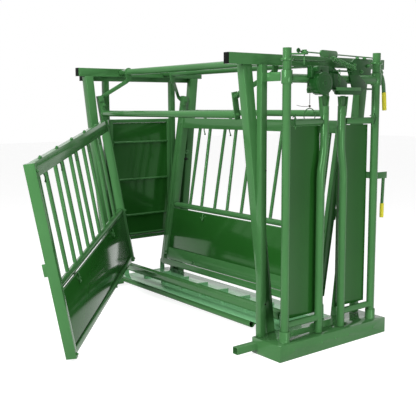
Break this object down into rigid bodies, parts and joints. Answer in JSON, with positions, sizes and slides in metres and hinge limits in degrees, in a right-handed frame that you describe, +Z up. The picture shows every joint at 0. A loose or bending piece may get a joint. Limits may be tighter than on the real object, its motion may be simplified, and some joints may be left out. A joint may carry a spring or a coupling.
{
  "type": "cattle crush",
  "caption": "Squeeze crush for cattle with a double-door headgate, leaning squeeze sides, swinging side gates with drop bars, a ribbed floor and a tail gate.",
  "frame": {"origin": "centre of the underside of the headgate's base pan, on the ground", "axes": "+Z up, -Y the way the animal walks out through the headgate, +X to the side that carries the two levers"},
  "size_m": [2.7443, 2.715, 2.128],
  "materials": {
    "green_paint": "gloss",
    "black_cap": "satin",
    "yellow_grip": "satin",
    "cord": "matte"
  },
  "bodies": {
    "frame": {"floor_deck": "green_paint", "floor_frame": "green_paint", "frame_post_left": "green_paint", "frame_post_right": "green_paint", "front_beam_cap_left": "black_cap", "front_beam_cap_right": "black_cap", "front_leg_left": "green_paint", "front_leg_right": "green_paint", "front_top_beam": "green_paint", "headgate_base_pan": "green_paint", "headgate_top_beam": "green_paint", "latch_drum": "green_paint", "mechanism_bracket": "green_paint", "pull_cord": "cord", "pull_cord_knot": "cord", "pull_cord_tail": "cord", "pull_ring": "green_paint", "rear_beam_cap_left": "black_cap", "rear_beam_cap_right": "black_cap", "rear_leg_left": "green_paint", "rear_leg_right": "green_paint", "rear_top_beam": "green_paint", "tail_frame": "green_paint", "track_end_cap_left": "black_cap", "track_end_cap_right": "black_cap"},
    "headgate_door_left": {"door_frame_left": "green_paint", "door_panel_left": "green_paint"},
    "headgate_door_right": {"door_frame_right": "green_paint", "door_panel_right": "green_paint"},
    "headgate_tie_rod": {"headgate_tie_rod": "green_paint"},
    "headgate_lever": {"headgate_lever": "green_paint", "headgate_lever_grip": "yellow_grip"},
    "cord_pulley": {"cord_pulley": "green_paint"},
    "squeeze_lever": {"squeeze_lever": "green_paint", "squeeze_lever_grip": "yellow_grip"},
    "tail_gate": {"tail_gate_frame": "green_paint", "tail_gate_sheet": "green_paint"},
    "tail_latch": {"tail_latch_handle": "green_paint"},
    "squeeze_side_left": {"squeeze_frame_left": "green_paint"},
    "squeeze_shaft_left": {"squeeze_shaft_left": "green_paint"},
    "squeeze_links_left": {"squeeze_link_front_left": "green_paint", "squeeze_link_rear_left": "green_paint"},
    "side_gate_left": {"side_gate_frame_left": "green_paint"},
    "drop_panel_left": {"drop_panel_left": "green_paint"},
    "drop_bar_left_1": {"drop_bar_left_1": "green_paint"},
    "drop_bar_left_2": {"drop_bar_left_2": "green_paint"},
    "drop_bar_left_3": {"drop_bar_left_3": "green_paint"},
    "drop_bar_left_4": {"drop_bar_left_4": "green_paint"},
    "drop_bar_left_5": {"drop_bar_left_5": "green_paint"},
    "squeeze_side_right": {"squeeze_frame_right": "green_paint"},
    "squeeze_shaft_right": {"squeeze_shaft_right": "green_paint"},
    "squeeze_links_right": {"squeeze_link_front_right": "green_paint", "squeeze_link_rear_right": "green_paint"},
    "side_gate_right": {"side_gate_frame_right": "green_paint"},
    "drop_panel_right": {"drop_panel_right": "green_paint"},
    "drop_bar_right_1": {"drop_bar_right_1": "green_paint"},
    "drop_bar_right_2": {"drop_bar_right_2": "green_paint"},
    "drop_bar_right_3": {"drop_bar_right_3": "green_paint"},
    "drop_bar_right_4": {"drop_bar_right_4": "green_paint"},
    "drop_bar_right_5": {"drop_bar_right_5": "green_paint"}
  },
  "joints": [
    {"name": "headgate_door_left_turn", "type": "hinge", "parent": "frame", "child": "headgate_door_left", "pos_m": [-0.457, -0.079, 0], "axis": [0, 0, 1], "range_deg": [-70, 0]},
    {"name": "headgate_door_right_turn", "type": "hinge", "parent": "frame", "child": "headgate_door_right", "pos_m": [0.457, -0.079, 0], "axis": [0, 0, 1], "range_deg": [0, 70]},
    {"name": "headgate_tie_rod_turn", "type": "hinge", "parent": "headgate_door_left", "child": "headgate_tie_rod", "pos_m": [-0.37212, -0.16097, 0], "axis": [0, 0, 1], "range_deg": [0, 74]},
    {"name": "headgate_lever_turn", "type": "hinge", "parent": "frame", "child": "headgate_lever", "pos_m": [0.549, -0.045, 1.989], "axis": [0, 1, 0], "range_deg": [-70, 0]},
    {"name": "cord_pulley_turn", "type": "hinge", "parent": "frame", "child": "cord_pulley", "pos_m": [-0.178, -0.02, 1.857], "axis": [0, 1, 0], "continuous": true},
    {"name": "squeeze_lever_turn", "type": "hinge", "parent": "frame", "child": "squeeze_lever", "pos_m": [0.626, -0.045, 1.215], "axis": [0, 1, 0], "range_deg": [-72, 0]},
    {"name": "tail_gate_turn", "type": "hinge", "parent": "frame", "child": "tail_gate", "pos_m": [-0.36075, 2.4925, 0], "axis": [0, 0, 1], "range_deg": [0, 90]},
    {"name": "tail_latch_turn", "type": "hinge", "parent": "tail_gate", "child": "tail_latch", "pos_m": [0.33275, 2.481, 1.25], "axis": [0, 1, 0], "range_deg": [-90, 0]},
    {"name": "squeeze_side_left_turn", "type": "hinge", "parent": "frame", "child": "squeeze_side_left", "pos_m": [-0.21231, 0, 0.19314], "axis": [0, 1, 0], "range_deg": [0, 4]},
    {"name": "squeeze_shaft_left_turn", "type": "hinge", "parent": "frame", "child": "squeeze_shaft_left", "pos_m": [-0.25, 0, 2.065], "axis": [0, 1, 0], "range_deg": [-76, 0]},
    {"name": "squeeze_links_left_turn", "type": "hinge", "parent": "squeeze_side_left", "child": "squeeze_links_left", "pos_m": [-0.46, 0, 1.823], "axis": [0, 1, 0], "range_deg": [-16, 0]},
    {"name": "side_gate_left_turn", "type": "hinge", "parent": "squeeze_side_left", "child": "side_gate_left", "pos_m": [-0.38515, 2.346, 0.92276], "axis": [-0.1524, 0.0279, 0.9879], "range_deg": [0, 43.6]},
    {"name": "drop_panel_left_turn", "type": "hinge", "parent": "side_gate_left", "child": "drop_panel_left", "pos_m": [-1.85926, 0.62652, 0.05454], "axis": [0.6801, 0.7244, 0.1127], "range_deg": [-14, 0]},
    {"name": "drop_bar_left_1_turn", "type": "hinge", "parent": "side_gate_left", "child": "drop_bar_left_1", "pos_m": [-0.57729, 2.03954, 0.72471], "axis": [0.6801, 0.7244, 0.1127], "range_deg": [-5, 0]},
    {"name": "drop_bar_left_2_turn", "type": "hinge", "parent": "side_gate_left", "child": "drop_bar_left_2", "pos_m": [-0.83914, 1.76065, 0.68132], "axis": [0.6801, 0.7244, 0.1127], "range_deg": [-100, 0]},
    {"name": "drop_bar_left_3_turn", "type": "hinge", "parent": "side_gate_left", "child": "drop_bar_left_3", "pos_m": [-1.10098, 1.48176, 0.63793], "axis": [0.6801, 0.7244, 0.1127], "range_deg": [-100, 0]},
    {"name": "drop_bar_left_4_turn", "type": "hinge", "parent": "side_gate_left", "child": "drop_bar_left_4", "pos_m": [-1.36283, 1.20287, 0.59453], "axis": [0.6801, 0.7244, 0.1127], "range_deg": [-100, 0]},
    {"name": "drop_bar_left_5_turn", "type": "hinge", "parent": "side_gate_left", "child": "drop_bar_left_5", "pos_m": [-1.62467, 0.92398, 0.55114], "axis": [0.6801, 0.7244, 0.1127], "range_deg": [-100, 0]},
    {"name": "squeeze_side_right_turn", "type": "hinge", "parent": "frame", "child": "squeeze_side_right", "pos_m": [0.21231, 0, 0.19314], "axis": [0, 1, 0], "range_deg": [-4, 0]},
    {"name": "squeeze_shaft_right_turn", "type": "hinge", "parent": "frame", "child": "squeeze_shaft_right", "pos_m": [0.25, 0, 2.065], "axis": [0, 1, 0], "range_deg": [0, 76]},
    {"name": "squeeze_links_right_turn", "type": "hinge", "parent": "squeeze_side_right", "child": "squeeze_links_right", "pos_m": [0.46, 0, 1.823], "axis": [0, 1, 0], "range_deg": [0, 16]},
    {"name": "side_gate_right_turn", "type": "hinge", "parent": "squeeze_side_right", "child": "side_gate_right", "pos_m": [0.38515, 2.346, 0.92276], "axis": [0.1524, 0.0279, 0.9879], "range_deg": [0, 43.6]},
    {"name": "drop_panel_right_turn", "type": "hinge", "parent": "side_gate_right", "child": "drop_panel_right", "pos_m": [0.26928, 0, 0.31754], "axis": [0, 1, 0], "range_deg": [0, 14]},
    {"name": "drop_bar_right_1_turn", "type": "hinge", "parent": "side_gate_right", "child": "drop_bar_right_1", "pos_m": [0.31196, 1.971, 0.76758], "axis": [0, 1, 0], "range_deg": [0, 5]},
    {"name": "drop_bar_right_2_turn", "type": "hinge", "parent": "side_gate_right", "child": "drop_bar_right_2", "pos_m": [0.31196, 1.586, 0.76758], "axis": [0, 1, 0], "range_deg": [0, 100]},
    {"name": "drop_bar_right_3_turn", "type": "hinge", "parent": "side_gate_right", "child": "drop_bar_right_3", "pos_m": [0.31196, 1.201, 0.76758], "axis": [0, 1, 0], "range_deg": [0, 100]},
    {"name": "drop_bar_right_4_turn", "type": "hinge", "parent": "side_gate_right", "child": "drop_bar_right_4", "pos_m": [0.31196, 0.816, 0.76758], "axis": [0, 1, 0], "range_deg": [0, 100]},
    {"name": "drop_bar_right_5_turn", "type": "hinge", "parent": "side_gate_right", "child": "drop_bar_right_5", "pos_m": [0.31196, 0.431, 0.76758], "axis": [0, 1, 0], "range_deg": [0, 100]}
  ],
  "couplings": [
    {"joint": "headgate_door_right_turn", "follows": "headgate_door_left_turn", "ratio": -1},
    {"joint": "headgate_tie_rod_turn", "follows": "headgate_door_left_turn", "ratio": -1.055},
    {"joint": "headgate_lever_turn", "follows": "headgate_door_left_turn", "ratio": 1},
    {"joint": "squeeze_side_right_turn", "follows": "squeeze_side_left_turn", "ratio": -1},
    {"joint": "squeeze_shaft_left_turn", "follows": "squeeze_side_left_turn", "ratio": -19},
    {"joint": "squeeze_shaft_right_turn", "follows": "squeeze_side_left_turn", "ratio": 19},
    {"joint": "squeeze_links_left_turn", "follows": "squeeze_side_left_turn", "ratio": -4},
    {"joint": "squeeze_links_right_turn", "follows": "squeeze_side_left_turn", "ratio": 4},
    {"joint": "squeeze_lever_turn", "follows": "squeeze_side_left_turn", "ratio": -18}
  ]
}
